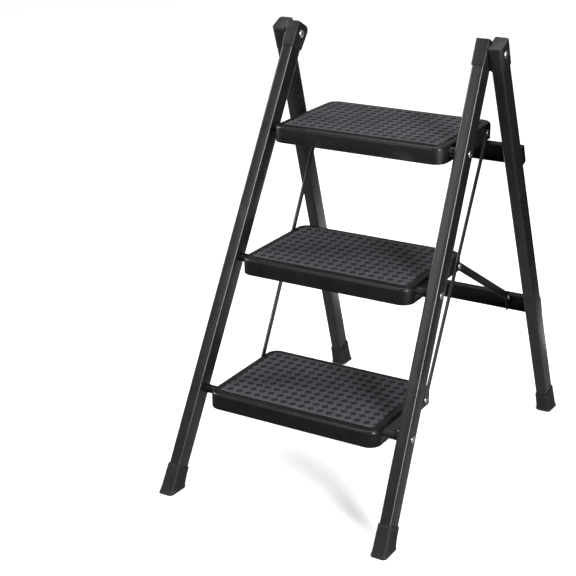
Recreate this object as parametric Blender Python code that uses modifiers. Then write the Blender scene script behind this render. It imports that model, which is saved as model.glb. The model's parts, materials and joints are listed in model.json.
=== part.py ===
"""Folding three-tread step stool, standing open.

Metres, +Z up, +X to the user's right, the treads climb towards +Y.
The origin is on the ground, in the middle of the stool's footprint.

The front frame carries the cross tubes that the treads turn on. The rear frame
turns on the hinge rivets. Link bars keep the treads parallel, and struts tie the
middle tread to the lower crossbar of the rear frame.
"""

from math import atan2, cos, hypot, pi, sin

import bmesh
import bpy
from mathutils import Matrix, Vector

# Main sizes --------------------------------------------------------------

GROUND_Y_FRONT = -0.30200           # front leg's centre line at the ground
HINGE_Y = GROUND_Y_FRONT + 0.3475
HINGE_Z = 0.6826
GROUND_Y_REAR = GROUND_Y_FRONT + 0.6021

FRONT_GROUND_X = 0.1903
FRONT_HINGE_X = 0.1664
REAR_GROUND_X = 0.2112
REAR_HINGE_X = 0.1897

FRONT_TUBE = (0.020, 0.030, 0)      # width across, depth, centre behind the hinge's line
REAR_TUBE = (0.020, 0.030, 0.0027)
TUBE_WALL = 0.0012
TUBE_CORNER = 0.004
TUBE_TOP = 0.012                    # tube's end above the hinge axis
FRONT_TUBE_LIFT = 0.015             # tube's end above the ground, along the leg
REAR_TUBE_LIFT = 0.015

GAP = 0.0003                        # between touching pieces
HOLE_CLEARANCE = 0.0003

# Treads ------------------------------------------------------------------

TREADS = ("bottom", "middle", "top")
LOWEST_MAT_TOP = 0.1650
TREAD_RISE = 0.1943
MAT_SIZE = (0.272, 0.171, 0.0022)
MAT_CORNER = 0.006
TREAD_SIZE = (0.300, 0.199, 0.0267)
TREAD_TILT = 0.021                  # radians, the back stands higher
TREAD_LIFT = 0.0006                 # keeps the front edge's height when the tread tilts
TREAD_CORNER = 0.020
TREAD_EDGE = 0.005
TREAD_WALL = 0.0015
RECESS_DEPTH = 0.0012
MAT_PROUD = 0.0013                  # mat's top above the plate's top
PIVOT_BELOW_MAT = 0.0118            # cross tube's centre below the mat's top
PIVOT_FROM_FRONT = 0.0313           # cross tube's centre behind the plate's front edge

CROSS_TUBE_RADIUS = 0.007
CROSS_TUBE_WALL = 0.0015
ROD_RADIUS = 0.003

# Linkage -----------------------------------------------------------------

LINK_ARM = (0.1347, 0.00105)        # link rivet from the cross tube: back, up
LINK_BAR = (0.011, 0.0020)          # width, thickness
LINK_FACE_X = TREAD_SIZE[0] / 2 + 0.0004
LINK_RIVET_RADIUS = 0.0025
STRUT = (0.013, 0.0025)
STRUT_TOP_X = 0.15545               # middle of the strut's thickness, upper pivot
STRUT_FOOT_X = 0.1560               # the same at the lower pivot
STRUT_PIVOT_DOWN = 0.4893           # along the rear leg from the hinge
STRUT_PIVOT_BACK = 0.0105           # behind the line from the hinge to the ground

# Rear crossbars ----------------------------------------------------------

CROSSBAR_HEIGHT = 0.033
CROSSBAR_DEPTH = 0.0115
CROSSBAR_WALL = 0.0015
UPPER_CROSSBAR_DOWN = 0.1958
LOWER_CROSSBAR_DOWN = 0.5084
UPPER_CROSSBAR_SHORT = 0.0010       # its end, inside the rear leg's outer face
LOWER_CROSSBAR_SHORT = 0.0060
BRACKET_WALL = 0.0020
BRACKET_TOP_DOWN = 0.4825           # the cheek's top, along the rear leg from the hinge
BRACKET_LOW_DOWN = 0.5160
BRACKET_FRONT = 0.0040              # the cheek's front, behind the same line

# Hinge caps and feet -----------------------------------------------------

CAP_BOTTOM = -0.025                 # along the leg, from the hinge axis
FRONT_CAP_TOP = 0.017
REAR_CAP_TOP = (0.014, 0.0178)      # front edge, back edge
FRONT_CAP_X = (0.1547, 0.1780)
REAR_CAP_X = (0.1784, 0.2020)
FRONT_CAP_FLARE = 0.006             # how far the back leans out towards the top
FRONT_CAP_TAPER = 0.0013            # how far the lower inner edge stands further out
CAP_OVER_TUBE = 0.0015
FOOT_OVER_TUBE = 0.0018
FOOT_LENGTH = 0.042
FOOT_FLARE = 1.05

HINGE = Vector((0, HINGE_Y, HINGE_Z))
SIDES = {"left": -1, "right": 1}
SEGMENTS = 16

PART = bpy.data.collections.new("step_stool")
CUTTERS = bpy.data.collections.new("cutters")


# Scene and materials -----------------------------------------------------

def clear_scene():
    for item in list(bpy.data.objects):
        bpy.data.objects.remove(item, do_unlink=True)
    for collection in (PART, CUTTERS):
        bpy.context.scene.collection.children.link(collection)


def make_material(name, colour, roughness, metallic):
    material = bpy.data.materials.new(name)
    material.use_nodes = True
    shader = material.node_tree.nodes["Principled BSDF"]
    shader.inputs["Base Color"].default_value = (*colour, 1)
    shader.inputs["Roughness"].default_value = roughness
    shader.inputs["Metallic"].default_value = metallic
    material.diffuse_color = (*colour, 1)
    return material


def make_materials():
    return {
        "frame": make_material("black_powder_coat", (0.022, 0.022, 0.023), 0.38, 0.0),
        "tread": make_material("black_satin_paint", (0.018, 0.018, 0.019), 0.45, 0.0),
        "mat": make_material("dark_rubber_mat", (0.032, 0.034, 0.040), 0.75, 0.0),
        "plastic": make_material("black_plastic", (0.016, 0.016, 0.016), 0.50, 0.0),
        "rubber": make_material("black_rubber", (0.014, 0.014, 0.014), 0.70, 0.0),
        "rivet": make_material("silver_rivet", (0.62, 0.62, 0.63), 0.28, 1.0),
    }


# Building blocks ---------------------------------------------------------

def add_object(name, bm, material, parent=None, collection=None):
    """Turn a bmesh that is already in world coordinates into an object."""
    mesh = bpy.data.meshes.new(name)
    bmesh.ops.recalc_face_normals(bm, faces=bm.faces)
    bm.to_mesh(mesh)
    bm.free()
    if material:
        mesh.materials.append(material)
    item = bpy.data.objects.new(name, mesh)
    (collection or PART).objects.link(item)
    if parent:
        mesh.transform(Matrix.Translation(-parent.location))
        item.parent = parent
    return item


def add_pivot(name, location):
    """An empty on a joint's axis. The pieces that turn there hang from it."""
    pivot = bpy.data.objects.new(name, None)
    pivot.empty_display_size = 0.03
    pivot.location = location
    PART.objects.link(pivot)
    return pivot


def box(size, centre=(0, 0, 0)):
    bm = bmesh.new()
    scale = Matrix.Diagonal((*size, 1))
    bmesh.ops.create_cube(bm, size=1, matrix=Matrix.Translation(centre) @ scale)
    return bm


def span_box(low, high):
    low = Vector(low)
    high = Vector(high)
    return box(high - low, (low + high) / 2)


def edges_along(bm, axis):
    """The edges that run along axis 0, 1 or 2."""
    def runs(edge):
        step = (edge.verts[1].co - edge.verts[0].co).normalized()
        return abs(step[axis]) > 0.9
    return [edge for edge in bm.edges if runs(edge)]


def bevel(bm, edges, width, segments):
    bmesh.ops.bevel(bm, geom=edges, offset=width, segments=segments, profile=0.5,
                    affect="EDGES", clamp_overlap=True)


def delete_faces(bm, axis, sign, context="FACES_ONLY"):
    """Remove the flat faces that look along plus or minus one axis."""
    bm.normal_update()
    faces = [face for face in bm.faces if face.normal[axis] * sign > 0.99]
    bmesh.ops.delete(bm, geom=faces, context=context)


def add_solidify(item, thickness):
    shell = item.modifiers.new("wall", "SOLIDIFY")
    shell.thickness = thickness
    shell.offset = -1
    shell.use_even_offset = True


def cut(item, cutter):
    hole = item.modifiers.new("cut", "BOOLEAN")
    hole.operation = "DIFFERENCE"
    hole.solver = "EXACT"
    hole.object = cutter


def as_cutter(name, bm):
    item = add_object(name, bm, None, collection=CUTTERS)
    item.hide_render = True
    item.display_type = "WIRE"
    return item


def rods_along_x(name, places, radius, low_x, high_x, segments=SEGMENTS):
    """A cutter made of cylinders along X. places holds their (y, z)."""
    bm = bmesh.new()
    for y, z in places:
        place = Matrix.Translation(((low_x + high_x) / 2, y, z)) @ Matrix.Rotation(pi / 2, 4, "Y")
        bmesh.ops.create_cone(bm, cap_ends=True, segments=segments, radius1=radius,
                              radius2=radius, depth=high_x - low_x, matrix=place)
    return as_cutter(name, bm)


def turned_along_x(name, outline, place, direction, material, parent=None):
    """Turn an outline of (radius, distance) points about the X axis.

    The distances fall from the first point to the last. direction is +1 where
    the distances run towards +X, and -1 where they run towards -X.
    """
    mesh = bpy.data.meshes.new(name)
    points = [(radius, 0, distance) for radius, distance in outline]
    edges = [(i, i + 1) for i in range(len(points) - 1)]
    mesh.from_pydata(points, edges, [])
    mesh.materials.append(material)
    item = bpy.data.objects.new(name, mesh)
    PART.objects.link(item)
    item.location = Vector(place) - (parent.location if parent else Vector())
    item.rotation_euler = (0, direction * pi / 2, 0)
    item.parent = parent
    screw = item.modifiers.new("turn", "SCREW")
    screw.steps = SEGMENTS
    screw.render_steps = SEGMENTS
    screw.use_merge_vertices = True
    screw.merge_threshold = 0.00001
    screw.use_smooth_shade = True
    return item


def dome(radius, height, base, rings=3):
    """Outline points of a rivet head, from its crown down to its rim."""
    points = []
    for i in range(rings + 1):
        angle = pi / 2 * i / rings
        points.append((radius * sin(angle), base + height * cos(angle)))
    return points


def rivet_outline(head_radius, head_height, shank_radius, length):
    """A head at each end. The heads bear at 0 and at minus length."""
    top = dome(head_radius, head_height, 0)
    foot = [(radius, -length - height) for radius, height in dome(head_radius, head_height, 0)]
    foot.reverse()
    return top + [(shank_radius, 0), (shank_radius, -length)] + foot


def add_rivet(name, low_x, high_x, yz, head_radius, head_height, shank_radius, side,
              material, parent=None):
    """A rivet with two heads whose bearing faces are at low_x and high_x."""
    outline = rivet_outline(head_radius, head_height, shank_radius, high_x - low_x)
    place = (side * high_x, yz[0], yz[1])
    return turned_along_x(name, outline, place, side, material, parent)


# Frames of reference -----------------------------------------------------

def leg_frame(side, ground_x, hinge_x, ground_y):
    """World matrix of a leg: the hinge is the origin, Z runs up the leg, Y is its depth."""
    ground = Vector((side * ground_x, ground_y, 0))
    top = Vector((side * hinge_x, HINGE_Y, HINGE_Z))
    up = (top - ground).normalized()
    back = up.cross(Vector((1, 0, 0))).normalized()
    across = back.cross(up)
    frame = Matrix((across, back, up)).transposed().to_4x4()
    frame.translation = top
    return frame


def leg_length(ground_x, hinge_x, ground_y):
    return Vector((ground_x - hinge_x, ground_y - HINGE_Y, HINGE_Z)).length


def lean_frame(ground_y):
    """A frame on the hinge axis that leans with the legs but has no splay."""
    return Matrix.Translation(HINGE) @ Matrix.Rotation(lean_angle(ground_y), 4, "X")


def lean_angle(ground_y):
    return atan2(ground_y - HINGE_Y, HINGE_Z)


def front_centre_y(z):
    """Y of the front leg's centre line at height z."""
    return GROUND_Y_FRONT + (HINGE_Y - GROUND_Y_FRONT) * z / HINGE_Z


def front_centre_x(z):
    return FRONT_GROUND_X + (FRONT_HINGE_X - FRONT_GROUND_X) * z / HINGE_Z


def mat_top(index):
    return LOWEST_MAT_TOP + index * TREAD_RISE


def tread_pivot(index):
    z = mat_top(index) - PIVOT_BELOW_MAT
    return Vector((0, front_centre_y(z), z))


def link_pivot(index):
    return tread_pivot(index) + Vector((0, LINK_ARM[0], LINK_ARM[1]))


def strut_pivot():
    return lean_frame(GROUND_Y_REAR) @ Vector((0, STRUT_PIVOT_BACK, -STRUT_PIVOT_DOWN))


# Legs --------------------------------------------------------------------

FRONT_LEG = (FRONT_GROUND_X, FRONT_HINGE_X, GROUND_Y_FRONT)
REAR_LEG = (REAR_GROUND_X, REAR_HINGE_X, GROUND_Y_REAR)


def tube_solid(section, low, high, grow=0):
    """A tube's outer shape in its leg's frame, grown by a clearance."""
    size = (section[0] + 2 * grow, section[1] + 2 * grow, high - low)
    bm = box(size, (0, section[2], (low + high) / 2))
    bevel(bm, edges_along(bm, 2), TUBE_CORNER + grow, 3)
    return bm


def add_leg(name, side, leg, section, lift, material, parent, holes):
    bm = tube_solid(section, lift - leg_length(*leg), TUBE_TOP)
    delete_faces(bm, 2, 1)
    delete_faces(bm, 2, -1)
    bmesh.ops.transform(bm, matrix=leg_frame(side, *leg), verts=bm.verts)
    item = add_object(name, bm, material, parent)
    add_solidify(item, TUBE_WALL)
    cut(item, holes)


# Hinge caps --------------------------------------------------------------

def cap_solid(x_range, section, tops, flare, side):
    """A block round the tube's end. tops are the heights of its front and back edges."""
    front = section[2] - section[1] / 2 - CAP_OVER_TUBE
    back = section[2] + section[1] / 2 + CAP_OVER_TUBE
    bm = span_box((x_range[0], front, CAP_BOTTOM), (x_range[1], back, max(tops)))
    for vert in bm.verts:
        if vert.co.z > 0:
            vert.co.z = tops[0] if vert.co.y < 0 else tops[1]
            if vert.co.y > 0:
                vert.co.y += flare
        vert.co.x *= side
    bmesh.ops.recalc_face_normals(bm, faces=bm.faces)
    return bm


def edge_at(bm, axis, y_sign, z_sign):
    """The block's edge along X at the given corner of its side view."""
    def fits(edge):
        middle = (edge.verts[0].co + edge.verts[1].co) / 2
        return middle.y * y_sign > 0 and middle.z * z_sign > 0
    return [edge for edge in edges_along(bm, axis) if fits(edge)]


def corner_edge(bm, side, y_sign, outer):
    """The upright edge at the given corner of the plan."""
    xs = [abs(vert.co.x) for vert in bm.verts]
    limit = max(xs) if outer else min(xs)

    def fits(edge):
        middle = (edge.verts[0].co + edge.verts[1].co) / 2
        return abs(abs(middle.x) - limit) < 0.001 and middle.y * y_sign > 0
    return [edge for edge in edges_along(bm, 2) if fits(edge)]


def add_front_cap(name, side, material, cutters):
    tops = (FRONT_CAP_TOP, FRONT_CAP_TOP)
    bm = cap_solid(FRONT_CAP_X, FRONT_TUBE, tops, FRONT_CAP_FLARE, side)
    for vert in bm.verts:
        if vert.co.z < 0 and abs(vert.co.x) < FRONT_CAP_X[0] + 0.001:
            vert.co.x += side * FRONT_CAP_TAPER
    rear_top = edge_at(bm, 0, 1, 1)
    bevel(bm, rear_top, 0.013, 5)
    bevel(bm, corner_edge(bm, side, -1, False) + corner_edge(bm, side, -1, True), 0.003, 3)
    finish_cap(name, bm, GROUND_Y_FRONT, material, None, cutters)


def add_rear_cap(name, side, material, parent, cutters):
    bm = cap_solid(REAR_CAP_X, REAR_TUBE, REAR_CAP_TOP, 0, side)
    bevel(bm, corner_edge(bm, side, -1, True), 0.007, 5)
    bevel(bm, corner_edge(bm, side, -1, False), 0.003, 3)
    finish_cap(name, bm, GROUND_Y_REAR, material, parent, cutters)


def finish_cap(name, bm, ground_y, material, parent, cutters):
    bmesh.ops.transform(bm, matrix=lean_frame(ground_y), verts=bm.verts)
    item = add_object(name, bm, material, parent)
    for cutter in cutters:
        cut(item, cutter)


def socket_cutter(name, side, leg, section, low, high):
    """The tube's shape with a clearance, which cuts the pocket that the tube sits in."""
    bm = tube_solid(section, low, high, GAP)
    bmesh.ops.transform(bm, matrix=leg_frame(side, *leg), verts=bm.verts)
    return as_cutter(name, bm)


# Feet --------------------------------------------------------------------

def add_foot(name, side, leg, section, material, parent, cutters):
    """A flared rubber sleeve whose sole is cut level with the ground."""
    length = leg_length(*leg)
    size = (section[0] + 2 * FOOT_OVER_TUBE, section[1] + 2 * FOOT_OVER_TUBE)
    low = -length - 0.015
    high = -length + FOOT_LENGTH
    bm = box((*size, high - low), (0, 0, (low + high) / 2))
    bevel(bm, edges_along(bm, 2), TUBE_CORNER + 0.001, 3)
    for vert in bm.verts:
        if vert.co.z < -length:
            vert.co.x *= FOOT_FLARE
            vert.co.y *= FOOT_FLARE
        vert.co.y += section[2]
    bmesh.ops.transform(bm, matrix=leg_frame(side, *leg), verts=bm.verts)
    item = add_object(name, bm, material, parent)
    for cutter in cutters:
        cut(item, cutter)


# Treads ------------------------------------------------------------------

def tread_tilt(index):
    """Tilts a level tread about its pivot."""
    pivot = tread_pivot(index)
    turn = Matrix.Rotation(TREAD_TILT, 4, "X")
    lift = Vector((0, 0, TREAD_LIFT))
    return Matrix.Translation(pivot + lift) @ turn @ Matrix.Translation(-pivot)


def add_tread(index, material, parent, cutters):
    """A pressed tray: round corners, a turned-down skirt and a recess for the mat."""
    pivot = tread_pivot(index)
    top = mat_top(index) - MAT_PROUD
    front = pivot.y - PIVOT_FROM_FRONT
    centre = (0, front + TREAD_SIZE[1] / 2, top - TREAD_SIZE[2] / 2)
    bm = box(TREAD_SIZE, centre)
    bevel(bm, edges_along(bm, 2), TREAD_CORNER, 5)
    delete_faces(bm, 2, -1)
    bm.normal_update()
    lid = [face for face in bm.faces if face.normal.z > 0.99]
    bevel(bm, list(lid[0].edges), TREAD_EDGE, 3)
    bm.normal_update()
    lid = [face for face in bm.faces if face.normal.z > 0.99]
    rim = (TREAD_SIZE[0] - MAT_SIZE[0]) / 2 - TREAD_EDGE - 0.0006
    bmesh.ops.inset_region(bm, faces=lid, thickness=rim, depth=0)
    bmesh.ops.inset_region(bm, faces=lid, thickness=0.0004, depth=-RECESS_DEPTH)
    bmesh.ops.transform(bm, matrix=tread_tilt(index), verts=bm.verts)
    item = add_object("tread_plate_" + TREADS[index], bm, material, parent)
    add_solidify(item, TREAD_WALL)
    for cutter in cutters:
        cut(item, cutter)


def add_mat(index, material, parent):
    pivot = tread_pivot(index)
    top = mat_top(index)
    centre_y = pivot.y - PIVOT_FROM_FRONT + TREAD_SIZE[1] / 2
    bm = box(MAT_SIZE, (0, centre_y, top - MAT_SIZE[2] / 2))
    bevel(bm, edges_along(bm, 2), MAT_CORNER, 5)
    bmesh.ops.transform(bm, matrix=tread_tilt(index), verts=bm.verts)
    add_object("tread_mat_" + TREADS[index], bm, material, parent)


def add_cross_tube(index, material):
    pivot = tread_pivot(index)
    half = front_centre_x(pivot.z) - FRONT_TUBE[0] / 2 - 0.0007
    bm = bmesh.new()
    place = Matrix.Translation(pivot) @ Matrix.Rotation(pi / 2, 4, "Y")
    bmesh.ops.create_cone(bm, cap_ends=False, segments=20, radius1=CROSS_TUBE_RADIUS,
                          radius2=CROSS_TUBE_RADIUS, depth=2 * half, matrix=place)
    item = add_object("cross_tube_" + TREADS[index], bm, material)
    item.data.shade_smooth()
    add_solidify(item, CROSS_TUBE_WALL)


def add_tread_rod(index, material):
    """The rod through the cross tube, with a domed head outside each front leg."""
    pivot = tread_pivot(index)
    reach = front_centre_x(pivot.z) + FRONT_TUBE[0] / 2 + 0.0006
    add_rivet("tread_rod_" + TREADS[index], -reach, reach, (pivot.y, pivot.z), 0.0055,
              0.0016, ROD_RADIUS, 1, material)


# Linkage -----------------------------------------------------------------

def flat_bar(start, end, section, x_range, side):
    """A bar with round ends between two pivots. x_range is its middle at start and at end."""
    width, thickness = section
    run = end - start
    length = hypot(run.y, run.z)
    bm = box((thickness, width, length + width))
    for z_sign in (-1, 1):
        corners = edge_at(bm, 0, -1, z_sign) + edge_at(bm, 0, 1, z_sign)
        bevel(bm, corners, width * 0.49, 4)
    for vert in bm.verts:
        share = vert.co.z / length + 0.5
        vert.co.x += side * (x_range[0] + (x_range[1] - x_range[0]) * share)
    turn = Matrix.Rotation(-atan2(run.y, run.z), 4, "X")
    bmesh.ops.transform(bm, matrix=Matrix.Translation((start + end) / 2) @ turn, verts=bm.verts)
    return bm


def add_link_bar(name, side, material, parent, holes):
    middle = LINK_FACE_X + LINK_BAR[1] / 2
    bm = flat_bar(link_pivot(0), link_pivot(2), LINK_BAR, (middle, middle), side)
    item = add_object(name, bm, material, parent)
    cut(item, holes)


def add_strut(name, side, material, parent, holes):
    """A flat bar that leans outward from the tread to its lower pivot."""
    x_range = (STRUT_FOOT_X, STRUT_TOP_X)
    bm = flat_bar(strut_pivot(), link_pivot(1), STRUT, x_range, side)
    item = add_object(name, bm, material, parent)
    cut(item, holes)


def add_link_rivet(index, side_name, side, material, parent):
    """Through the link bar and the tread's skirt. It stays clear of the strut."""
    pivot = link_pivot(index)
    low = TREAD_SIZE[0] / 2 - TREAD_WALL - GAP
    high = LINK_FACE_X + LINK_BAR[1] + GAP
    height = 0.0010 if index == 1 else 0.0016
    add_rivet("link_rivet_%s_%s" % (TREADS[index], side_name), low, high,
              (pivot.y, pivot.z), 0.0048, height, LINK_RIVET_RADIUS, side, material, parent)


def add_strut_upper_rivet(name, side, material, parent):
    """One head, and a shank that ends flush inside the strut's hole."""
    pivot = link_pivot(1)
    outline = dome(0.0046, 0.0017, 0)
    outline += [(LINK_RIVET_RADIUS, 0), (LINK_RIVET_RADIUS, -STRUT[1]), (0, -STRUT[1])]
    place = (side * (STRUT_TOP_X + STRUT[1] / 2 + GAP), pivot.y, pivot.z)
    turned_along_x(name, outline, place, side, material, parent)


def add_strut_lower_rivet(name, side, material, parent):
    pivot = strut_pivot()
    low = bracket_outer_x() - BRACKET_WALL - GAP
    high = STRUT_FOOT_X + STRUT[1] / 2 + GAP
    add_rivet(name, low, high, (pivot.y, pivot.z), 0.0046, 0.0018, LINK_RIVET_RADIUS, side,
              material, parent)


# Rear crossbars and strut brackets ---------------------------------------

def crossbar_front():
    """The channel's open edge, as a distance behind the line from hinge to ground."""
    return REAR_TUBE[2] + REAR_TUBE[1] / 2 + GAP


def rear_outer_x(down):
    share = down / leg_length(*REAR_LEG)
    return REAR_HINGE_X + (REAR_GROUND_X - REAR_HINGE_X) * share + REAR_TUBE[0] / 2


def add_crossbar(name, down, short, material, parent):
    """A channel with its web at the back, open towards the treads."""
    half = rear_outer_x(down) - short
    front = crossbar_front()
    bm = span_box((-half, front, -down - CROSSBAR_HEIGHT / 2),
                  (half, front + CROSSBAR_DEPTH, -down + CROSSBAR_HEIGHT / 2))
    bevel(bm, edge_at_back(bm, front + CROSSBAR_DEPTH), 0.003, 3)
    delete_faces(bm, 1, -1)
    delete_faces(bm, 0, 1)
    delete_faces(bm, 0, -1)
    bmesh.ops.transform(bm, matrix=lean_frame(GROUND_Y_REAR), verts=bm.verts)
    item = add_object(name, bm, material, parent)
    add_solidify(item, CROSSBAR_WALL)


def edge_at_back(bm, back):
    return [edge for edge in edges_along(bm, 0)
            if all(abs(vert.co.y - back) < 0.0001 for vert in edge.verts)]


def bracket_outer_x():
    return STRUT_FOOT_X - STRUT[1] / 2 - 0.0004


def add_strut_bracket(name, side, material, parent, holes):
    """A cheek beside the strut. Its foot reaches into the channel and turns along the web."""
    outer = bracket_outer_x()
    web = crossbar_front() + CROSSBAR_DEPTH - CROSSBAR_WALL - GAP
    flange = -LOWER_CROSSBAR_DOWN + CROSSBAR_HEIGHT / 2
    inside = flange - CROSSBAR_WALL - 0.0018
    block = span_box((outer - 0.014, BRACKET_FRONT, -BRACKET_LOW_DOWN),
                     (outer, web, -BRACKET_TOP_DOWN))
    bend = span_box((outer - 0.020, BRACKET_FRONT - 0.010, -BRACKET_LOW_DOWN - 0.010),
                    (outer - BRACKET_WALL, web - BRACKET_WALL, -BRACKET_TOP_DOWN + 0.010))
    notch = span_box((outer - 0.020, crossbar_front() - GAP, inside),
                     (outer + 0.010, web + 0.010, -BRACKET_TOP_DOWN + 0.010))
    for bm in (block, bend, notch):
        for vert in bm.verts:
            vert.co.x *= side
        bmesh.ops.transform(bm, matrix=lean_frame(GROUND_Y_REAR), verts=bm.verts)
    item = add_object(name, block, material, parent)
    cut(item, as_cutter("cut_bend_" + name, bend))
    cut(item, as_cutter("cut_notch_" + name, notch))
    cut(item, holes)


# Assembly ----------------------------------------------------------------

def leg_holes():
    """Holes through the front legs for the tread rods, and through all legs for the hinge."""
    rods = [tread_pivot(i).yz for i in range(len(TREADS))]
    radius = ROD_RADIUS + HOLE_CLEARANCE
    front = rods_along_x("cut_leg_holes", rods + [HINGE.yz], radius, -0.3, 0.3)
    hinge = rods_along_x("cut_hinge_holes", [HINGE.yz], radius, -0.3, 0.3)
    return front, hinge


def build_front_frame(materials, ground):
    front_holes, hinge_hole = leg_holes()
    low = FRONT_TUBE_LIFT - leg_length(*FRONT_LEG)
    for name, side in SIDES.items():
        add_leg("front_leg_" + name, side, FRONT_LEG, FRONT_TUBE, FRONT_TUBE_LIFT,
                materials["frame"], None, front_holes)
        cap_pocket = socket_cutter("cut_front_cap_" + name, side, FRONT_LEG, FRONT_TUBE,
                                   -0.060, TUBE_TOP + GAP)
        add_front_cap("front_cap_" + name, side, materials["plastic"],
                      (cap_pocket, hinge_hole))
        foot_pocket = socket_cutter("cut_front_foot_" + name, side, FRONT_LEG, FRONT_TUBE,
                                    low - GAP, low + 0.080)
        add_foot("front_foot_" + name, side, FRONT_LEG, FRONT_TUBE, materials["rubber"], None,
                 (foot_pocket, ground))
        add_rivet("hinge_rivet_" + name, FRONT_CAP_X[0] - GAP, REAR_CAP_X[1] + GAP, HINGE.yz,
                  0.0060, 0.0024, ROD_RADIUS, side, materials["rivet"])
    for index in range(len(TREADS)):
        add_cross_tube(index, materials["frame"])
        add_tread_rod(index, materials["rivet"])
    return hinge_hole


def build_rear_frame(materials, ground, hinge_hole):
    pivot = add_pivot("rear_frame_axis", HINGE)
    low = REAR_TUBE_LIFT - leg_length(*REAR_LEG)
    pin_holes = rods_along_x("cut_bracket_holes", [strut_pivot().yz],
                             LINK_RIVET_RADIUS + HOLE_CLEARANCE, -0.3, 0.3, 12)
    for name, side in SIDES.items():
        add_leg("rear_leg_" + name, side, REAR_LEG, REAR_TUBE, REAR_TUBE_LIFT,
                materials["frame"], pivot, hinge_hole)
        cap_pocket = socket_cutter("cut_rear_cap_" + name, side, REAR_LEG, REAR_TUBE,
                                   -0.060, TUBE_TOP + GAP)
        add_rear_cap("rear_cap_" + name, side, materials["plastic"], pivot,
                     (cap_pocket, hinge_hole))
        foot_pocket = socket_cutter("cut_rear_foot_" + name, side, REAR_LEG, REAR_TUBE,
                                    low - GAP, low + 0.080)
        add_foot("rear_foot_" + name, side, REAR_LEG, REAR_TUBE, materials["rubber"], pivot,
                 (foot_pocket, ground))
        add_strut_bracket("strut_bracket_" + name, side, materials["frame"], pivot, pin_holes)
        add_strut_lower_rivet("strut_lower_rivet_" + name, side, materials["rivet"], pivot)
    add_crossbar("crossbar_upper", UPPER_CROSSBAR_DOWN, UPPER_CROSSBAR_SHORT,
                 materials["frame"], pivot)
    add_crossbar("crossbar_lower", LOWER_CROSSBAR_DOWN, LOWER_CROSSBAR_SHORT,
                 materials["frame"], pivot)


def build_treads(materials):
    for index, label in enumerate(TREADS):
        pivot = add_pivot("tread_axis_" + label, tread_pivot(index))
        bore = rods_along_x("cut_tread_bore_" + label, [tread_pivot(index).yz],
                            CROSS_TUBE_RADIUS + 0.0004, -0.3, 0.3, 20)
        holes = rods_along_x("cut_tread_link_" + label, [link_pivot(index).yz],
                             LINK_RIVET_RADIUS + HOLE_CLEARANCE, -0.3, 0.3, 12)
        add_tread(index, materials["tread"], pivot, (bore, holes))
        add_mat(index, materials["mat"], pivot)
        for name, side in SIDES.items():
            add_link_rivet(index, name, side, materials["rivet"], pivot)


def build_linkage(materials):
    link_axis = add_pivot("link_axis", link_pivot(1))
    strut_axis = add_pivot("strut_axis", strut_pivot())
    radius = LINK_RIVET_RADIUS + HOLE_CLEARANCE
    link_places = [link_pivot(i).yz for i in range(len(TREADS))]
    link_holes = rods_along_x("cut_link_holes", link_places, radius, -0.3, 0.3, 12)
    strut_places = [link_pivot(1).yz, strut_pivot().yz]
    strut_holes = rods_along_x("cut_strut_holes", strut_places, radius, -0.3, 0.3, 12)
    for name, side in SIDES.items():
        add_link_bar("link_bar_" + name, side, materials["frame"], link_axis, link_holes)
        add_strut("strut_" + name, side, materials["frame"], strut_axis, strut_holes)
        add_strut_upper_rivet("strut_upper_rivet_" + name, side, materials["rivet"], strut_axis)


def build():
    clear_scene()
    materials = make_materials()
    ground = as_cutter("cut_ground", span_box((-0.5, -0.5, -0.1), (0.5, 0.5, 0)))
    hinge_hole = build_front_frame(materials, ground)
    build_rear_frame(materials, ground, hinge_hole)
    build_treads(materials)
    build_linkage(materials)


build()
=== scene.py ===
"""Step stool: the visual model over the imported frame."""

import json
from math import atan2, cos, hypot, pi, radians, sin

import bmesh
import bpy
from mathutils import Matrix, Vector


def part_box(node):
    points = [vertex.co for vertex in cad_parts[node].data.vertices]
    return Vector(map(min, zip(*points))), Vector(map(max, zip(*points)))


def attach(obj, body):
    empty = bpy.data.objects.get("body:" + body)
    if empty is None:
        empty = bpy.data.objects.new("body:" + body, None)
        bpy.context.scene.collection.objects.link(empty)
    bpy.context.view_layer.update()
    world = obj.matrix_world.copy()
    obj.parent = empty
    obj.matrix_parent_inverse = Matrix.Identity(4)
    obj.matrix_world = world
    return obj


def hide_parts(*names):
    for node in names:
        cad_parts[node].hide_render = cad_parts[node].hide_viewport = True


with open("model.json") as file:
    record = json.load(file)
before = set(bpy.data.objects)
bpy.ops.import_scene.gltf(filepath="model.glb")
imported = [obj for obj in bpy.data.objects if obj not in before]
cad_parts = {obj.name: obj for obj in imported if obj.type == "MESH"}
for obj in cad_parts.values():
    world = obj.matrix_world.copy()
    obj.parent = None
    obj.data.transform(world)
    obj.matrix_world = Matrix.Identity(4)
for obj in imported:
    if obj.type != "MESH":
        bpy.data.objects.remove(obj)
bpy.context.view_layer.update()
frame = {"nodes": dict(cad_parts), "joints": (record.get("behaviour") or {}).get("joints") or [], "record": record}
nodes = frame["nodes"]
record = frame["record"]
joints = {joint["name"]: Vector(joint["pos_m"]) for joint in frame["joints"]}
mounts = {mount["name"]: Vector(mount["pos_m"]) for mount in record["mounts"]}

SIDES = {"left": -1, "right": 1}
TREADS = ("bottom", "middle", "top")
HINGE = joints["rear_fold"]
GAP = 0.0003                        # between neighbouring pieces
THROUGH = 0.3                       # half length of a cutter that passes right through
REAR_OFFSET = 0.0029                # the rear soles' centres behind the line from the hinge

TUBE_WALL = 0.0012
TUBE_CORNER = 0.004
RIVET_HOLE = 0.0033                 # radii
RIVET_SHANK = 0.0030
LINK_HOLE = 0.0028
LINK_SHANK = 0.0025

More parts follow.
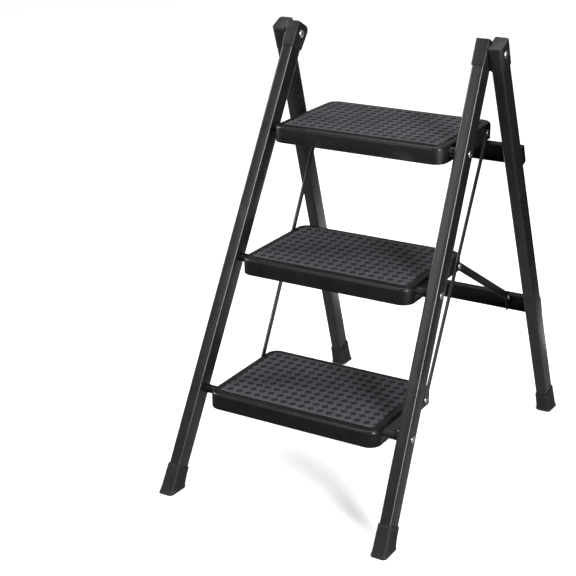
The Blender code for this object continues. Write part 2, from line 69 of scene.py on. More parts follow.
REAR_CAP_SLOPE = 0.0037             # how much lower the front of the top is
FRONT_CAP_TOE = 0.006               # how much further forward the back's lower edge is
FRONT_CAP_TAPER = 0.0013            # how much further out the inner face's lower edge is
CAP_DOWN = 0.06                     # a level below the caps' open ends
CAP_EASE = 0.0010

FOOT_CORNER = 0.0042
RIB_DEPTH = 0.0005
RIB_PITCH = 0.0036
RIB_STEPS = 40

TREAD_TILT = 0.021                  # radians, the back stands higher
TREAD_LIFT = 0.0006
TREAD_CORNER = 0.020
TREAD_EDGE = 0.005
SHEET = 0.0015                      # thickness of the tread plate
RIM = 0.0126                        # from the tread's edge to the mat's recess
RECESS = 0.0012
AXLE_HOLE = 0.0074
CROSS_TUBE_WALL = 0.0015
MAT_CORNER = 0.006
LOZENGES = (18, 10)                 # across the tread and back
LOZENGE_PITCH = (0.0162, 0.0163)
LOZENGE_HALF = (0.0069, 0.0068)     # half the diagonals
LOZENGE_DEPTH = 0.0007

LINK_WIDTH = 0.011
STRUT_WIDTH = 0.013
STRUT_THICK = 0.0025
STRUT_TOP_X = 0.15545
STRUT_FOOT_X = 0.1560
CHANNEL_WALL = 0.0015
CHANNEL_CORNER = 0.0030
BRACKET_WALL = 0.0020

# Rivet heads: radius, height and the shank's radius
HINGE_HEAD = (0.0060, 0.0024, RIVET_SHANK)
ROD_HEAD = (0.0055, 0.0016, RIVET_SHANK)
LINK_HEAD = (0.0048, 0.0016, LINK_SHANK)
FLAT_LINK_HEAD = (0.0048, 0.0010, LINK_SHANK)
STRUT_TOP_HEAD = (0.0046, 0.0017, LINK_SHANK)
STRUT_FOOT_HEAD = (0.0046, 0.0018, LINK_SHANK)


# Materials ---------------------------------------------------------------

def noise(tree, coords, scale, detail=3.0, roughness=0.55):
    item = tree.nodes.new("ShaderNodeTexNoise")
    item.inputs["Scale"].default_value = scale
    item.inputs["Detail"].default_value = detail
    item.inputs["Roughness"].default_value = roughness
    tree.links.new(coords, item.inputs["Vector"])
    return item.outputs["Fac"]


def spread(tree, source, low, high, from_low=0.3, from_high=0.7):
    item = tree.nodes.new("ShaderNodeMapRange")
    item.inputs["From Min"].default_value = from_low
    item.inputs["From Max"].default_value = from_high
    item.inputs["To Min"].default_value = low
    item.inputs["To Max"].default_value = high
    tree.links.new(source, item.inputs["Value"])
    return item.outputs["Result"]


def feed(tree, socket, value):
    """Link an output to a socket, or set the socket to a colour."""
    if isinstance(value, tuple):
        socket.default_value = (*value, 1)
    else:
        tree.links.new(value, socket)


def blend_colour(tree, factor, first, second):
    item = tree.nodes.new("ShaderNodeMix")
    item.data_type = "RGBA"
    feed(tree, item.inputs["A"], first)
    feed(tree, item.inputs["B"], second)
    tree.links.new(factor, item.inputs["Factor"])
    return item.outputs["Result"]


def lighter(colour, gain, lift=0.0):
    return tuple(min(1.0, value * gain + lift) for value in colour)


def add_scuffs(tree, coords, scale, colour, light, roughness):
    """Worn marks, a little lighter and a little rougher."""
    marks = noise(tree, coords, scale, 6.0, 0.7)
    worn = spread(tree, marks, 0.0, 1.0, 0.62, 0.72)
    colour = blend_colour(tree, worn, colour, lighter(light, 1.9, 0.004))
    add = tree.nodes.new("ShaderNodeMath")
    add.operation = "MULTIPLY_ADD"
    add.inputs[1].default_value = 0.04
    tree.links.new(worn, add.inputs[0])
    tree.links.new(roughness, add.inputs[2])
    return colour, add.outputs["Value"]


def material(name, dark, light, rough, grain, grain_strength, metallic=0.0, specular=0.5,
             patch_scale=35.0, scuff=None):
    """Colour in two tones, roughness in patches, and a fine grain in the bump."""
    item = bpy.data.materials.new(name)
    item.use_nodes = True
    tree = item.node_tree
    shader = tree.nodes["Principled BSDF"]
    shader.inputs["Metallic"].default_value = metallic
    shader.inputs["Specular IOR Level"].default_value = specular
    coords = tree.nodes.new("ShaderNodeTexCoord").outputs["Object"]
    patches = noise(tree, coords, patch_scale, 4.0)
    fine = noise(tree, coords, grain, 2.0)
    colour = blend_colour(tree, spread(tree, patches, 0.0, 1.0), dark, light)
    speck = spread(tree, fine, 0.0, 0.5, 0.35, 0.75)
    colour = blend_colour(tree, speck, colour, lighter(light, 1.35))
    roughness = spread(tree, patches, rough[0], rough[1])
    if scuff:
        colour, roughness = add_scuffs(tree, coords, scuff, colour, light, roughness)
    tree.links.new(colour, shader.inputs["Base Color"])
    tree.links.new(roughness, shader.inputs["Roughness"])
    bump = tree.nodes.new("ShaderNodeBump")
    bump.inputs["Strength"].default_value = grain_strength
    bump.inputs["Distance"].default_value = 0.0004
    tree.links.new(fine, bump.inputs["Height"])
    tree.links.new(bump.outputs["Normal"], shader.inputs["Normal"])
    return item


COAT = material("powder_coat", (0.0052, 0.0052, 0.0054), (0.0080, 0.0080, 0.0083), (0.26, 0.33),
                1100.0, 0.14, specular=0.45, scuff=9.0)
# A rougher, less shiny copy of the powder coat whose darker colour is painted shade; it goes on the crossbars,
# struts and strut brackets.
SHADED_COAT = material("dull_coat_with_painted_shade", (0.0028, 0.0028, 0.0029), (0.0045, 0.0045, 0.0046), (0.42, 0.52),
                     1100.0, 0.14, specular=0.12, scuff=9.0)
PAINT = material("tread_paint", (0.0042, 0.0042, 0.0044), (0.0062, 0.0062, 0.0064), (0.26, 0.34),
                 1300.0, 0.12, specular=0.30, scuff=11.0)
MAT = material("mat_rubber", (0.028, 0.0288, 0.0330), (0.037, 0.0380, 0.0435), (0.62, 0.76),
               1500.0, 0.5, specular=0.30, patch_scale=22.0, scuff=14.0)
# A darker copy of the mat rubber: painted shade on the pockets' walls and floors.
POCKET_SHADE = material("mat_pocket_shade", (0.0085, 0.0085, 0.0092), (0.0120, 0.0120, 0.0130), (0.70, 0.82),
                  1500.0, 0.5, specular=0.15, patch_scale=22.0)
PLASTIC = material("cap_plastic", (0.0055, 0.0055, 0.0057), (0.0085, 0.0085, 0.0088), (0.38, 0.50),
                   1900.0, 0.45, specular=0.32, scuff=16.0)
RUBBER = material("foot_rubber", (0.0050, 0.0050, 0.0052), (0.0085, 0.0085, 0.0088), (0.55, 0.70),
                  1500.0, 0.4, specular=0.28, scuff=18.0)
ZINC = material("zinc_rivet", (0.66, 0.66, 0.67), (0.78, 0.78, 0.78), (0.30, 0.42), 900.0, 0.12,
                metallic=1.0, patch_scale=260.0)


# Building blocks ---------------------------------------------------------

def piece(name, bm, materials, body, replaces, sharp=38):
    """An object that stands for CAD nodes. Edges above the sharp angle stay sharp."""
    bmesh.ops.remove_doubles(bm, verts=bm.verts, dist=0.000002)
    bmesh.ops.recalc_face_normals(bm, faces=bm.faces)
    mesh = bpy.data.meshes.new(name)
    bm.to_mesh(mesh)
    bm.free()
    for entry in materials:
        mesh.materials.append(entry)
    item = bpy.data.objects.new(name, mesh)
    bpy.context.scene.collection.objects.link(item)
    item["sharp"] = sharp
    smooth(item)
    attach(item, body)
    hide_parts(*replaces)
    return item


def smooth(item):
    item.data.shade_smooth()
    item.data.set_sharp_from_angle(angle=radians(item["sharp"]))


def carve(item, cutters):
    """Cut with closed solids. The result is written into the piece's own mesh."""
    helpers = []
    for bm in cutters:
        bmesh.ops.recalc_face_normals(bm, faces=bm.faces)
        mesh = bpy.data.meshes.new("cutter")
        bm.to_mesh(mesh)
        bm.free()
        helper = bpy.data.objects.new("cutter", mesh)
        bpy.context.scene.collection.objects.link(helper)
        helpers.append(helper)
        step = item.modifiers.new("cut", "BOOLEAN")
        step.operation = "DIFFERENCE"
        step.solver = "EXACT"
        step.object = helper
    graph = bpy.context.evaluated_depsgraph_get()
    mesh = bpy.data.meshes.new_from_object(item.evaluated_get(graph))
    item.modifiers.clear()
    item.data = mesh
    for helper in helpers:
        bpy.data.objects.remove(helper)
    smooth(item)


def drill(places, radius, segments=32):
    """Long cylinders along X, at (y, z) places."""
    bm = bmesh.new()
    for y, z in places:
        place = Matrix.Translation((0, y, z)) @ Matrix.Rotation(pi / 2, 4, "Y")
        bmesh.ops.create_cone(bm, cap_ends=True, segments=segments, radius1=radius,
                              radius2=radius, depth=2 * THROUGH, matrix=place)
    return bm


def local_box(name, matrix):
    """A CAD node's lowest and highest corners in a tilted frame."""
    back = matrix.inverted()
    points = [back @ v.co for v in nodes[name].data.vertices]
    low = Vector([min(p[i] for p in points) for i in range(3)])
    high = Vector([max(p[i] for p in points) for i in range(3)])
    return low, high


def rounded(width, depth, radius, steps=6):
    """Points of a rounded rectangle round the origin."""
    points = []
    x = width / 2 - radius
    y = depth / 2 - radius
    for cx, cy, start in ((x, y, 0), (-x, y, 90), (-x, -y, 180), (x, -y, 270)):
        for i in range(steps + 1):
            angle = radians(start + 90 * i / steps)
            points.append((cx + radius * cos(angle), cy + radius * sin(angle)))
    return points


def loft(bm, rings, first_cap=True, last_cap=True, closed=False):
    """Faces between rings of equal length."""
    rows = [[bm.verts.new(p) for p in ring] for ring in rings]
    count = len(rows[0])
    pairs = list(zip(rows, rows[1:]))
    if closed:
        pairs.append((rows[-1], rows[0]))
    for low, high in pairs:
        for i in range(count):
            j = (i + 1) % count
            bm.faces.new((low[i], low[j], high[j], high[i]))
    if first_cap and not closed:
        bm.faces.new(list(reversed(rows[0])))
    if last_cap and not closed:
        bm.faces.new(rows[-1])
    return bm


def lathe(bm, outline, origin, direction, segments=32):
    """Turn (radius, distance) points about X. The end points lie on the axis."""
    rows = []
    for radius, distance in outline:
        x = origin[0] + direction * distance
        if radius == 0:
            rows.append([bm.verts.new((x, origin[1], origin[2]))])
            continue
        rows.append([bm.verts.new((x, origin[1] + radius * cos(2 * pi * i / segments),
                                   origin[2] + radius * sin(2 * pi * i / segments)))
                     for i in range(segments)])
    for low, high in zip(rows, rows[1:]):
        for i in range(segments):
            j = (i + 1) % segments
            corner = [low[0]] if len(low) == 1 else [low[i], low[j]]
            corner += [high[0]] if len(high) == 1 else [high[j], high[i]]
            bm.faces.new(corner)
    return bm


def head(radius, height):
    """A rivet head from its crown to its bearing face, with a dimple in the crown."""
    shape = ((0.0, 0.80), (0.16, 0.81), (0.24, 0.90), (0.32, 0.985), (0.44, 0.97), (0.60, 0.87),
             (0.76, 0.70), (0.88, 0.50), (0.96, 0.30), (1.0, 0.14), (0.99, 0.04), (0.96, 0.0))
    return [(r * radius, h * height) for r, h in shape]


def edge_bevel(bm, edges, width, segments):
    bmesh.ops.bevel(bm, geom=edges, offset=width, segments=segments, profile=0.5,
                    affect="EDGES", clamp_overlap=True)


def sharp_edges(bm, angle=0.6):
    bm.normal_update()
    return [e for e in bm.edges if len(e.link_faces) == 2 and e.calc_face_angle(0) > angle]


def along(bm, axis, test):
    """Edges that run along an axis and pass a test on their middle."""
    found = []
    for edge in bm.edges:
        a, b = edge.verts[0].co, edge.verts[1].co
        if abs((b - a).normalized()[axis]) > 0.9 and test((a + b) / 2):
            found.append(edge)
    return found


def block(low, high):
    low, high = Vector(low), Vector(high)
    bm = bmesh.new()
    size = Matrix.Diagonal((*(high - low), 1))
    bmesh.ops.create_cube(bm, size=1, matrix=Matrix.Translation((low + high) / 2) @ size)
    return bm


# The legs' frames --------------------------------------------------------

def lean(ground_y):
    return Matrix.Translation(HINGE) @ Matrix.Rotation(atan2(ground_y - HINGE.y, HINGE.z), 4, "X")


GROUND_Y = {"front": mounts["front_foot_right_sole"].y,
            "rear": mounts["rear_foot_right_sole"].y - REAR_OFFSET}
LEAN = {kind: lean(y) for kind, y in GROUND_Y.items()}


def leg_frame(kind, side_name):
    """The hinge is the origin, Z runs up the leg and Y is its depth."""
    back = LEAN[kind].inverted()
    points = [back @ v.co for v in nodes["%s_leg_%s" % (kind, side_name)].data.vertices]
    ends = []
    for z in (min(p.z for p in points), max(p.z for p in points)):
        near = [p for p in points if abs(p.z - z) < 0.002]
        middle = (min(p.x for p in near) + max(p.x for p in near)) / 2
        ends.append(Vector((middle, 0, sum(p.z for p in near) / len(near))))
    step = (ends[1] - ends[0]) / (ends[1].z - ends[0].z)
    hinge = LEAN[kind] @ (ends[1] - step * ends[1].z)
    up = ((LEAN[kind] @ ends[1]) - (LEAN[kind] @ ends[0])).normalized()
    depth = up.cross(Vector((1, 0, 0))).normalized()
    across = depth.cross(up)
    matrix = Matrix((across, depth, up)).transposed().to_4x4()
    matrix.translation = hinge
    return matrix


LEG = {(kind, name): leg_frame(kind, name) for kind in GROUND_Y for name in SIDES}
BODY = {"front": "front_frame", "rear": "rear_frame"}
PIVOT = {label: joints["tread_fold_" + label] for label in TREADS}
ARM = joints["link_pivot"] - PIVOT["middle"]
LINK = {label: PIVOT[label] + ARM for label in TREADS}
STRUT_FOOT = joints["strut_pivot"]


def tube_outline(kind, name, grow=0.0):
    """The leg tube's outline, grown by a margin, and its two ends, in its own frame."""
    low, high = local_box("%s_leg_%s" % (kind, name), LEG[kind, name])
    width = high.x - low.x + 2 * grow
    depth = high.y - low.y + 2 * grow
    middle = (low + high) / 2
    points = rounded(width, depth, TUBE_CORNER + grow)
    return [(x + middle.x, y + middle.y) for x, y in points], low.z, high.z


def at(matrix, outline, z):
    return [matrix @ Vector((x, y, z)) for x, y in outline]


# Legs, caps and feet -----------------------------------------------------

def add_leg(kind, name):
    matrix = LEG[kind, name]
    outer, low, high = tube_outline(kind, name)
    inner = tube_outline(kind, name, -TUBE_WALL)[0]
    bm = bmesh.new()
    count = 12
    levels = [low + (high - low) * i / count for i in range(count + 1)]
    rings = [at(matrix, outer, z) for z in levels]
    rings += [at(matrix, inner, z) for z in reversed(levels)]
    loft(bm, rings, closed=True)
    cad = "%s_leg_%s" % (kind, name)
    item = piece("tube_" + cad, bm, [COAT], BODY[kind], [cad])
    places = [HINGE.yz]
    if kind == "front":
        places += [PIVOT[label].yz for label in TREADS]
    carve(item, [drill(places, RIVET_HOLE)])


def cap_block(kind, name):
    """The cap's box in its leaning frame, with its slopes."""
    low, high = local_box("%s_cap_%s" % (kind, name), LEAN[kind])
    middle_x = abs(low.x + high.x) / 2
    bm = block(low, high)
    for v in bm.verts:
        top = v.co.z > 0
        back = v.co.y > 0
        if kind == "rear" and top and not back:
            v.co.z -= REAR_CAP_SLOPE
        if kind == "front" and not top:
            if back:
                v.co.y -= FRONT_CAP_TOE
            if abs(v.co.x) < middle_x:
                v.co.x += SIDES[name] * FRONT_CAP_TAPER
    return bm, middle_x, (low.y + high.y) / 2


def add_cap(kind, name):
    cad = "%s_cap_%s" % (kind, name)
    bm, middle_x, middle_y = cap_block(kind, name)

    def corner(back, outer):
        return along(bm, 2, lambda m: ((m.y > middle_y) == back)
                     and ((abs(m.x) > middle_x) == outer))

    if kind == "front":
        edge_bevel(bm, along(bm, 0, lambda m: m.z > 0 and m.y > middle_y), 0.0115, 8)
        edge_bevel(bm, along(bm, 0, lambda m: m.z < 0 and m.y > middle_y), 0.0035, 4)
        edge_bevel(bm, corner(False, False) + corner(False, True), 0.0030, 5)
    else:
        edge_bevel(bm, corner(False, True), 0.0080, 10)
        edge_bevel(bm, corner(False, False), 0.0040, 6)
        edge_bevel(bm, corner(True, True), 0.0050, 6)
    edge_bevel(bm, sharp_edges(bm), CAP_EASE, 3)
    bmesh.ops.transform(bm, matrix=LEAN[kind], verts=bm.verts)
    item = piece("cover_" + cad, bm, [PLASTIC], BODY[kind], [cad], 45)
    outline, _, tube_high = tube_outline(kind, name, GAP)
    matrix = LEG[kind, name]
    pocket = loft(bmesh.new(), [at(matrix, outline, -CAP_DOWN),
                                at(matrix, outline, tube_high + GAP)])
    carve(item, [pocket, drill([HINGE.yz], RIVET_HOLE)])


def level(matrix, x, y):
    """The height in a leg's frame where the line through (x, y) meets the ground."""
    start = matrix @ Vector((x, y, 0))
    step = matrix.to_3x3() @ Vector((0, 0, 1))
    return -start.z / step.z


def foot_outline(low, high, grow, ribs):
    """Round a tube's section, grown by a margin. ribs is the depth of the grooves."""
    middle = (low + high) / 2
    width = high.x - low.x + 2 * grow
    depth = high.y - low.y + 2 * grow
    radius = FOOT_CORNER + grow * 0.6
    points = []
    for cx, cy, nx, ny, tx, ty, length in (
            (width / 2, 0, 1, 0, 0, 1, depth), (0, depth / 2, 0, 1, -1, 0, width),
            (-width / 2, 0, -1, 0, 0, -1, depth), (0, -depth / 2, 0, -1, 1, 0, width)):
        flat = length - 2 * radius
        count = max(1, round(flat / RIB_PITCH))
        for i in range(RIB_STEPS):
            t = -flat / 2 + flat * i / (RIB_STEPS - 1)
            out = -ribs * (0.5 - 0.5 * cos(2 * pi * (t / flat + 0.5) * count))
            points.append((cx + tx * t + nx * out, cy + ty * t + ny * out))
        turn_x = cx + tx * flat / 2 - nx * radius
        turn_y = cy + ty * flat / 2 - ny * radius
        for i in range(1, 6):
            a = pi / 2 * i / 6
            points.append((turn_x + radius * (nx * cos(a) + tx * sin(a)),
                           turn_y + radius * (ny * cos(a) + ty * sin(a))))
    return [(x + middle.x, y + middle.y) for x, y in points]


def add_foot(kind, name):
    cad = "%s_foot_%s" % (kind, name)
    matrix = LEG[kind, name]
    top = local_box(cad, matrix)[1].z
    low, high = local_box("%s_leg_%s" % (kind, name), matrix)

    def sole(above, grow, ribs=0.0):
        """A ring at a height above the ground."""
        return [matrix @ Vector((x, y, level(matrix, x, y) + above))
                for x, y in foot_outline(low, high, grow, ribs)]

    def sleeve(z, grow, ribs=0.0):
        """A ring square to the leg."""
        return at(matrix, foot_outline(low, high, grow, ribs), z)

    rings = [sole(0.0, 0.0016), sole(0.0, 0.0030), sole(0.0008, 0.0036), sole(0.0030, 0.0036),
             sole(0.0044, 0.0030), sole(0.0060, 0.0027), sole(0.0075, 0.0027, RIB_DEPTH),
             sole(0.0110, 0.0024, RIB_DEPTH), sleeve(top - 0.0100, 0.0019, RIB_DEPTH),
             sleeve(top - 0.0085, 0.0019), sleeve(top - 0.0012, 0.0019),
             sleeve(top - 0.0003, 0.0015), sleeve(top, 0.0010), sleeve(top, GAP),
             sleeve(low.z - GAP, GAP)]
    piece("sleeve_" + cad, loft(bmesh.new(), rings), [RUBBER], BODY[kind], [cad], 50)


# Treads ------------------------------------------------------------------

def tread_frame(label):
    """A level tread's own frame, tilted about its pivot."""
    move = Matrix.Translation(PIVOT[label] + Vector((0, 0, TREAD_LIFT)))
    return move @ Matrix.Rotation(TREAD_TILT, 4, "X")


def add_tread(label):
    cad = "tread_plate_" + label
    tilt = tread_frame(label)
    low, high = local_box(cad, tilt)
    width, depth = high.x - low.x, high.y - low.y
    middle = (low + high) / 2
    skirt = low.z - high.z

    def ring(inset, z):
        outline = rounded(width - 2 * inset, depth - 2 * inset, TREAD_CORNER - inset, 10)
        return [tilt @ Vector((x + middle.x, y + middle.y, high.z + z)) for x, y in outline]

    def bend(inset, radius, steps):
        """Rings round the edge between the skirt and the top."""
        turns = [pi / 2 * i / steps for i in range(steps + 1)]
        return [ring(inset + radius - radius * cos(a), -TREAD_EDGE + radius * sin(a))
                for a in turns]

    upper = [ring(0.0004, skirt), ring(0.0, skirt + 0.0004)]
    upper += bend(0.0, TREAD_EDGE, 7)
    upper += [ring(RIM, 0.0), ring(RIM + 0.0005, -0.0002), ring(RIM + 0.0010, -0.0010),
              ring(RIM + 0.0013, -RECESS)]
    under = [ring(0.0004, skirt), ring(0.0011, skirt), ring(SHEET, skirt + 0.0004)]
    under += bend(SHEET, TREAD_EDGE - SHEET, 4)
    under += [ring(RIM - 0.0011, -SHEET), ring(RIM - 0.0002, -SHEET - RECESS)]
    bm = loft(bmesh.new(), upper, first_cap=False)
    loft(bm, under, first_cap=False)
    item = piece("tray_" + label, bm, [PAINT], "tread_" + label, [cad], 30)
    carve(item, [drill([PIVOT[label].yz], AXLE_HOLE, 40), drill([LINK[label].yz], LINK_HOLE)])


def add_mat(label):
    cad = "tread_mat_" + label
    tilt = tread_frame(label)
    low, high = local_box(cad, tilt)
    width, depth = high.x - low.x, high.y - low.y
    middle = (low + high) / 2

    def ring(inset, z):
        outline = rounded(width - 2 * inset, depth - 2 * inset, MAT_CORNER - inset, 6)
        return [tilt @ Vector((x + middle.x, y + middle.y, z)) for x, y in outline]

    def lozenge(x, y, z, share):
        return [tilt @ Vector((x + LOZENGE_HALF[0] * share * cos(a),
                               y + LOZENGE_HALF[1] * share * sin(a), z))
                for a in (0, pi / 2, pi, 3 * pi / 2)]

    bm = loft(bmesh.new(), [ring(0.0, low.z), ring(0.0, high.z - 0.0006),
                            ring(0.0002, high.z - 0.0002), ring(0.0006, high.z)])
    item = piece("pad_" + label, bm, [MAT, POCKET_SHADE], "tread_" + label, [cad], 30)
    cells = bmesh.new()
    levels = ((high.z + 0.0006, 1.06), (high.z, 1.0), (high.z - LOZENGE_DEPTH, 0.86))
    across, back = LOZENGES
    for row in range(back):
        y = middle.y + (row - (back - 1) / 2) * LOZENGE_PITCH[1]
        for column in range(across):
            x = (column - (across - 1) / 2) * LOZENGE_PITCH[0]
            loft(cells, [lozenge(x, y, z, share) for z, share in levels])
    carve(item, [cells])
    # The darker pocket walls and floors are painted shade.
    paint_pocket_shade(item, tilt, low, high)


def paint_pocket_shade(item, tilt, low, high):
    """The pockets' walls and floors get the pad's second material, a darker rubber that is painted shade in the
    recesses.
    """
    level_frame = tilt.inverted()
    for face in item.data.polygons:
        centre = level_frame @ face.center
        inside = abs(centre.x) < (high.x - low.x) / 2 - 0.0005
        if low.z + 0.0005 < centre.z < high.z - 0.0001 and inside:
            face.material_index = 1


def add_cross_tube(label):
    cad = "cross_tube_" + label
    low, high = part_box(cad)
    pivot = PIVOT[label]
    outer = (high.z - low.z) / 2
    inner = outer - CROSS_TUBE_WALL
    half = high.x
    ease = 0.0003
    outline = [(inner, half), (outer - ease, half), (outer, half - ease),
               (outer, -half + ease), (outer - ease, -half), (inner, -half)]
    turns = [2 * pi * i / 40 for i in range(40)]
    rings = [[(x, pivot.y + r * cos(a), pivot.z + r * sin(a)) for a in turns]
             for r, x in outline]
    bm = loft(bmesh.new(), rings, closed=True)
    piece("axle_tube_" + label, bm, [COAT], "front_frame", [cad], 50)


# Rivets ------------------------------------------------------------------

def add_rivet(cad, body, bearing, yz, shape, side, two_heads=True):
    """bearing is the X of the two faces under the heads, counted outwards."""
    radius, height, shank = shape
    length = bearing[1] - bearing[0]
    outline = head(radius, height) + [(shank, 0.0), (shank, -length)]
    if two_heads:
        outline += [(r, -length - h) for r, h in reversed(head(radius, height))]
    else:
        outline.append((0.0, -length))
    bm = lathe(bmesh.new(), outline, (side * bearing[1], yz[0], yz[1]), side)
    piece("pin_" + cad, bm, [ZINC], body, [cad], 40)


def reach(cad):
    """How far out of the middle a CAD node starts and ends, along X."""
    faces = sorted(abs(v.x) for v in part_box(cad))
    return faces[0], faces[1]


def add_hinge_rivet(name, side):
    bearing = (reach("front_cap_" + name)[0] - GAP, reach("rear_cap_" + name)[1] + GAP)
    add_rivet("hinge_rivet_" + name, "front_frame", bearing, HINGE.yz, HINGE_HEAD, side)


def add_link_rivets(name, side):
    for label in TREADS:
        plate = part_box("tread_plate_" + label)[1].x
        bearing = (plate - SHEET - GAP, reach("link_bar_" + name)[1] + GAP)
        shape = FLAT_LINK_HEAD if label == "middle" else LINK_HEAD
        add_rivet("link_rivet_%s_%s" % (label, name), "tread_" + label, bearing,
                  LINK[label].yz, shape, side)


def add_strut_rivets(name, side):
    half = STRUT_THICK / 2
    bearing = (STRUT_TOP_X - half, STRUT_TOP_X + half + GAP)
    add_rivet("strut_upper_rivet_" + name, "struts", bearing, LINK["middle"].yz,
              STRUT_TOP_HEAD, side, two_heads=False)
    cheek = reach("strut_bracket_" + name)[1]
    bearing = (cheek - BRACKET_WALL - GAP, STRUT_FOOT_X + half + GAP)
    add_rivet("strut_lower_rivet_" + name, "rear_frame", bearing, STRUT_FOOT.yz,
              STRUT_FOOT_HEAD, side)


def add_tread_rod(label):
    cad = "tread_rod_" + label
    low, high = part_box(cad)
    bearing = (low.x + ROD_HEAD[1], high.x - ROD_HEAD[1])
    add_rivet(cad, "front_frame", bearing, PIVOT[label].yz, ROD_HEAD, 1)


# Linkage -----------------------------------------------------------------

def bar(start, end, width, low_x, high_x):
    """A flat bar with round ends and eased edges between two pivots."""
    run = end - start
    length = hypot(run.y, run.z)
    turn = Matrix.Rotation(-atan2(run.y, run.z), 4, "X")
    place = Matrix.Translation((0, start.y, start.z)) @ turn
    ease = 0.0004

    def outline(inset):
        radius = width / 2 - inset
        points = []
        for z, first in ((length, 0), (0, 180)):
            for i in range(17):
                a = radians(first + 180 * i / 16)
                points.append((radius * cos(a), z + radius * sin(a)))
        return points

    rings = []
    for x, inset in ((low_x, ease), (low_x + ease, 0), (high_x - ease, 0), (high_x, ease)):
        rings.append([place @ Vector((x, y, z)) for y, z in outline(inset)])
    return loft(bmesh.new(), rings)


def add_link_bar(name):
    cad = "link_bar_" + name
    low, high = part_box(cad)
    bm = bar(LINK["bottom"], LINK["top"], LINK_WIDTH, low.x, high.x)
    item = piece("flat_" + cad, bm, [COAT], "link_bars", [cad], 40)
    carve(item, [drill([LINK[label].yz for label in TREADS], LINK_HOLE)])


def add_strut(name, side):
    cad = "strut_" + name
    top = LINK["middle"]
    bm = bar(STRUT_FOOT, top, STRUT_WIDTH, -STRUT_THICK / 2, STRUT_THICK / 2)
    for v in bm.verts:
        share = (v.co.z - STRUT_FOOT.z) / (top.z - STRUT_FOOT.z)
        v.co.x += side * (STRUT_FOOT_X + (STRUT_TOP_X - STRUT_FOOT_X) * share)
    # The strut's darker coat is painted shade.
    item = piece("flat_" + cad, bm, [SHADED_COAT], "struts", [cad], 40)
    carve(item, [drill([top.yz, STRUT_FOOT.yz], LINK_HOLE)])


def add_crossbar(cad):
    """A channel with its web at the back and rounded outer corners."""
    matrix = LEAN["rear"]
    low, high = local_box(cad, matrix)
    half = (high.z - low.z) / 2
    middle = (high.z + low.z) / 2

    def path(inset):
        r = CHANNEL_CORNER - inset
        back = high.y - inset - r
        reach_z = half - inset
        points = [(low.y, reach_z)]
        for first, z in ((90, reach_z - r), (0, r - reach_z)):
            for i in range(7):
                a = radians(first - 90 * i / 6)
                points.append((back + r * cos(a), z + r * sin(a)))
        points.append((low.y, -reach_z))
        return points

    outline = path(0.0) + list(reversed(path(CHANNEL_WALL)))
    bm = loft(bmesh.new(), [[matrix @ Vector((x, y, z + middle)) for y, z in outline]
                            for x in (low.x, high.x)])
    edge_bevel(bm, sharp_edges(bm, 1.2), 0.0003, 2)
    # The channel's darker coat is painted shade.
    piece("channel_" + cad, bm, [SHADED_COAT], "rear_frame", [cad], 35)


# Assembly of the pieces --------------------------------------------------

def build():
    for name, side in SIDES.items():
        for kind in BODY:
            add_leg(kind, name)
            add_cap(kind, name)
            add_foot(kind, name)
        add_link_bar(name)
        add_strut(name, side)
        add_hinge_rivet(name, side)
        add_link_rivets(name, side)
        add_strut_rivets(name, side)
        # The strut bracket's darker coat is painted shade.
        nodes["strut_bracket_" + name].material_slots[0].material = SHADED_COAT
    for label in TREADS:
        add_tread(label)
        add_mat(label)
        add_cross_tube(label)
        add_tread_rod(label)
    add_crossbar("crossbar_upper")
    add_crossbar("crossbar_lower")


build()


# Camera, floor and light -------------------------------------------------

LENS = 87.5
SENSOR = 36.0
AZIMUTH = radians(30.92)
ELEVATION = radians(20.04)
ROLL = radians(-0.08)
CAMERA = Vector((0.9982, -1.6208, 1.0745))      # from the front feet's line on the ground
FLOOR_HALF = 30.0


def add_camera():
    data = bpy.data.cameras.new("camera")
    data.sensor_width = SENSOR
    data.lens = LENS
    camera = bpy.data.objects.new("camera", data)
    bpy.context.scene.collection.objects.link(camera)
    bpy.context.scene.camera = camera
    back = Vector((sin(AZIMUTH) * cos(ELEVATION), -cos(AZIMUTH) * cos(ELEVATION),
                   sin(ELEVATION)))
    right = (-back).cross(Vector((0, 0, 1))).normalized()
    up = right.cross(-back)
    turn = Matrix((right, up, back)).transposed().to_4x4()
    place = CAMERA + Vector((0, GROUND_Y["front"], 0))
    camera.matrix_world = Matrix.Translation(place) @ turn @ Matrix.Rotation(ROLL, 4, "Z")


def stage_sheet(name, corners, values):
    """A flat sheet of the studio, with values for its shader."""
    bm = bmesh.new()
    bm.faces.new([bm.verts.new(corner) for corner in corners])
    mesh = bpy.data.meshes.new(name)
    bm.to_mesh(mesh)
    bm.free()
    paint = bpy.data.materials.new(name)
    paint.use_nodes = True
    shader = paint.node_tree.nodes["Principled BSDF"]
    for socket, value in values.items():
        shader.inputs[socket].default_value = value
    mesh.materials.append(paint)
    item = bpy.data.objects.new(name, mesh)
    bpy.context.scene.collection.objects.link(item)
    return item


def level_corners(low, high, z):
    return [(low[0], low[1], z), (high[0], low[1], z), (high[0], high[1], z),
            (low[0], high[1], z)]


def add_floor():
    corners = level_corners((-FLOOR_HALF, -FLOOR_HALF), (FLOOR_HALF, FLOOR_HALF), 0.0)
    stage_sheet("floor", corners, {"Base Color": (0.92, 0.92, 0.92, 1), "Roughness": 0.7,
                                   "Specular IOR Level": 0.2})


def add_card(name, corners, glow=0.0):
    """A card that only reflections see, black or dark grey."""
    item = stage_sheet(name, corners, {"Base Color": (0.0, 0.0, 0.0, 1),
                                       "Specular IOR Level": 0.0,
                                       "Emission Color": (1, 1, 1, 1),
                                       "Emission Strength": glow})
    item.visible_camera = False
    item.visible_diffuse = False
    item.visible_shadow = False


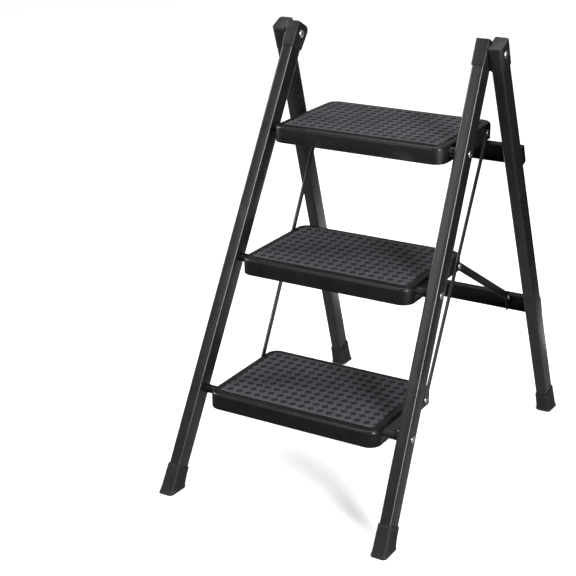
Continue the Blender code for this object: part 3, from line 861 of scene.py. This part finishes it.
def add_cards():
    """They keep the legs' right sides, the skirts and the rear legs dark."""
    foot, head_end = (0.62, 0.0), (-0.05, 2.0)
    add_card("card_right", [(*foot, 0.0), (*head_end, 0.0), (*head_end, 1.0), (*foot, 1.0)])
    seam = -0.36
    add_card("card_floor", level_corners((-2.5, -3.5), (1.5, seam), 0.003))
    add_card("card_back", level_corners((-2.5, seam), (1.5, 0.6), 0.003), 0.35)


def add_area(name, place, target, size, power):
    data = bpy.data.lights.new(name, "AREA")
    data.shape = "RECTANGLE"
    data.size, data.size_y = size
    data.energy = power
    item = bpy.data.objects.new(name, data)
    item.location = place
    item.rotation_euler = (Vector(target) - Vector(place)).to_track_quat("-Z", "Y").to_euler()
    bpy.context.scene.collection.objects.link(item)


def add_light():
    """White to the camera and the surfaces, dim in reflections, with four softboxes."""
    world = bpy.data.worlds.new("studio")
    bpy.context.scene.world = world
    world.use_nodes = True
    tree = world.node_tree
    back = tree.nodes["Background"]
    back.inputs["Color"].default_value = (1, 1, 1, 1)
    path = tree.nodes.new("ShaderNodeLightPath")
    strength = tree.nodes.new("ShaderNodeMapRange")
    strength.inputs["To Min"].default_value = 1.10
    strength.inputs["To Max"].default_value = 0.22
    tree.links.new(path.outputs["Is Glossy Ray"], strength.inputs["Value"])
    most = tree.nodes.new("ShaderNodeMath")
    most.operation = "MAXIMUM"
    tree.links.new(path.outputs["Is Camera Ray"], most.inputs[0])
    tree.links.new(strength.outputs["Result"], most.inputs[1])
    tree.links.new(most.outputs["Value"], back.inputs["Strength"])
    add_area("front", (-0.50, -1.25, 1.25), (0.17, -0.13, 0.36), (0.40, 0.85), 3.2)
    add_area("right", (2.25, -1.35, 1.45), (0, 0, 0.35), (0.35, 1.7), 105)
    add_area("left", (-2.5, -0.45, 1.55), (0, 0, 0.35), (0.40, 1.7), 50)
    add_area("top", (-0.3, 0.5, 2.6), (0, 0, 0.3), (1.8, 1.2), 26)
    bpy.context.scene.view_settings.view_transform = "Standard"


add_camera()
add_floor()
add_light()
add_cards()
